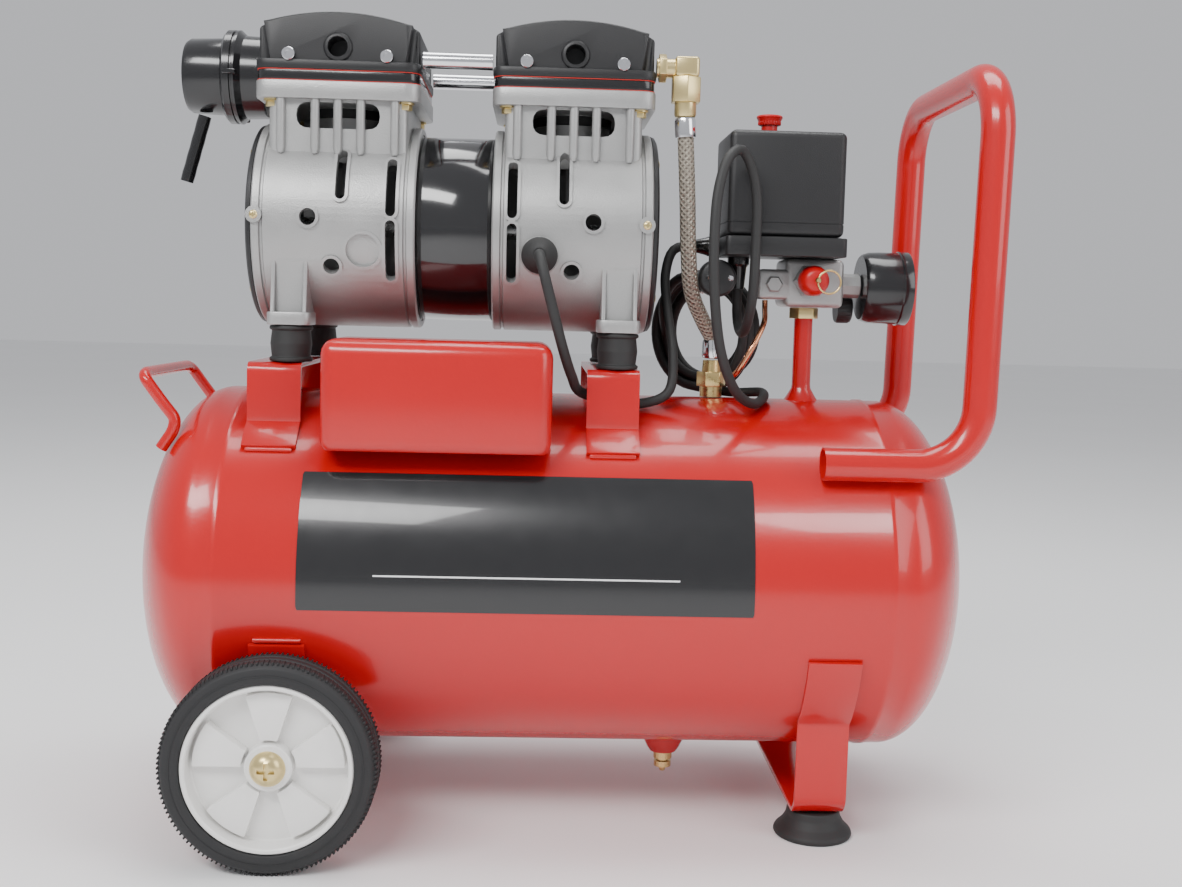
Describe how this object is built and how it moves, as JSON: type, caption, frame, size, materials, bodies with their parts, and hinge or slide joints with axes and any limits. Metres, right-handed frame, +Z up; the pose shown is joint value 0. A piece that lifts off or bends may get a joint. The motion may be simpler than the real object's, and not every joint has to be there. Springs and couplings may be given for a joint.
{
  "type": "portable air compressor",
  "caption": "Portable oil-free air compressor: lying red tank with a two-headed direct pump, pressure switch, gauge, carry handle and wheels.",
  "frame": {"origin": "on the floor, under the middle of the bounding box of everything but the mains cord", "axes": "+X along the tank towards the carry handle, +Z up, -Y towards the side with the label and capacitor cover"},
  "size_m": [0.58, 0.3078, 0.545],
  "materials": {
    "red_paint": "glossy red powder coat",
    "cast_aluminium": "raw die casting, fine matt grain",
    "bright_steel": "machined",
    "motor_iron": "glossy black enamel",
    "chrome": "polished",
    "black_gloss": "glossy",
    "black_plastic": "fine matt grain",
    "black_rubber": "matt",
    "tyre_rubber": "matt, ribbed",
    "white_plastic": "satin",
    "red_plastic": "satin",
    "yellow_zinc": "yellow zinc plated steel",
    "brass": "machined",
    "copper": "bright copper tube",
    "braid": "rubber hose under braided steel wire"
  },
  "bodies": {
    "root": {"air_filter": "black_plastic", "axle_bracket": "red_paint", "cable_gland": "black_rubber", "capacitor_cover": "red_paint", "carry_handle": "red_paint", "check_valve": "brass", "crankcase_left": "cast_aluminium", "crankcase_right": "cast_aluminium", "discharge_elbow": "yellow_zinc", "discharge_hose": "braid", "drain_valve": "brass", "fan_cover_left": "black_plastic", "fan_cover_right": "black_plastic", "filter_spout": "black_gloss", "gauge_case": "black_gloss", "head_cover_left": "black_plastic", "head_cover_right": "black_plastic", "leg_bracket": "red_paint", "mains_plug": "black_plastic", "manifold": "cast_aluminium", "motor_lead": "black_rubber", "motor_stator": "motor_iron", "outlet_coupler": "brass", "power_cord": "black_rubber", "power_cord_coil": "black_rubber", "power_cord_tail": "black_rubber", "pump_bracket_left": "red_paint", "pump_bracket_right": "red_paint", "rubber_foot": "black_rubber", "rubber_mount_front_left": "black_rubber", "rubber_mount_front_right": "black_rubber", "rubber_mount_rear_left": "black_rubber", "rubber_mount_rear_right": "black_rubber", "safety_valve": "red_plastic", "start_capacitor": "black_plastic", "switch_base": "black_plastic", "switch_cover": "black_plastic", "tank_shell": "red_paint", "tow_handle": "red_paint", "transfer_tube_front": "chrome", "transfer_tube_rear": "chrome", "unloader_tube": "copper", "valve_plate_left": "black_gloss", "valve_plate_right": "black_gloss", "wheel_bolt_front": "yellow_zinc", "wheel_bolt_rear": "yellow_zinc"},
    "wheel_front": {"tyre_front": "tyre_rubber", "rim_front": "white_plastic"},
    "wheel_rear": {"tyre_rear": "tyre_rubber", "rim_rear": "white_plastic"},
    "rotor_body": {"rotor": "bright_steel", "fan_left": "black_plastic", "fan_right": "black_plastic"},
    "piston_left_body": {"piston_left": "cast_aluminium"},
    "piston_right_body": {"piston_right": "cast_aluminium"},
    "knob": {"switch_knob": "red_plastic"},
    "relief": {"relief_pull": "brass"},
    "needle": {"gauge_needle": "black_plastic"},
    "regulator": {"regulator_knob": "black_plastic"},
    "drain": {"drain_screw": "brass"}
  },
  "joints": [
    {"name": "wheel_front_spin", "type": "hinge", "parent": "root", "child": "wheel_front", "pos_m": [-0.176, -0.1363, 0.0678], "axis": [0, 1, 0], "continuous": true},
    {"name": "wheel_rear_spin", "type": "hinge", "parent": "root", "child": "wheel_rear", "pos_m": [-0.176, 0.1363, 0.0678], "axis": [0, 1, 0], "continuous": true},
    {"name": "rotor_spin", "type": "hinge", "parent": "root", "child": "rotor_body", "pos_m": [-0.073, 0, 0.408], "axis": [1, 0, 0], "continuous": true},
    {"name": "piston_left_rock", "type": "hinge", "parent": "rotor_body", "child": "piston_left_body", "pos_m": [-0.151, 0, 0.413], "axis": [1, 0, 0], "continuous": true},
    {"name": "piston_right_rock", "type": "hinge", "parent": "rotor_body", "child": "piston_right_body", "pos_m": [0.005, 0, 0.413], "axis": [1, 0, 0], "continuous": true},
    {"name": "switch_knob_push", "type": "slide", "parent": "root", "child": "knob", "axis": [0, 0, 1], "range_m": [-0.005, 0]},
    {"name": "relief_pull_out", "type": "slide", "parent": "root", "child": "relief", "axis": [0, -1, 0], "range_m": [0, 0.003], "stiffness_N_per_m": 800},
    {"name": "gauge_needle_turn", "type": "hinge", "parent": "root", "child": "needle", "pos_m": [0.2323, -0.006, 0.375], "axis": [1, 0, 0], "range_deg": [-270, 0], "stiffness_Nm_per_rad": 0.0005},
    {"name": "regulator_turn", "type": "hinge", "parent": "root", "child": "regulator", "pos_m": [0.1985, 0.008, 0.36], "axis": [1, 0, 0], "range_deg": [-360, 360]},
    {"name": "drain_screw_turn", "type": "hinge", "parent": "root", "child": "drain", "pos_m": [0.0825, 0, 0.0267], "axis": [0, 0, 1], "range_deg": [-720, 0]}
  ],
  "couplings": [
    {"joint": "piston_left_rock", "follows": "rotor_spin", "ratio": -1},
    {"joint": "piston_right_rock", "follows": "rotor_spin", "ratio": -1}
  ]
}
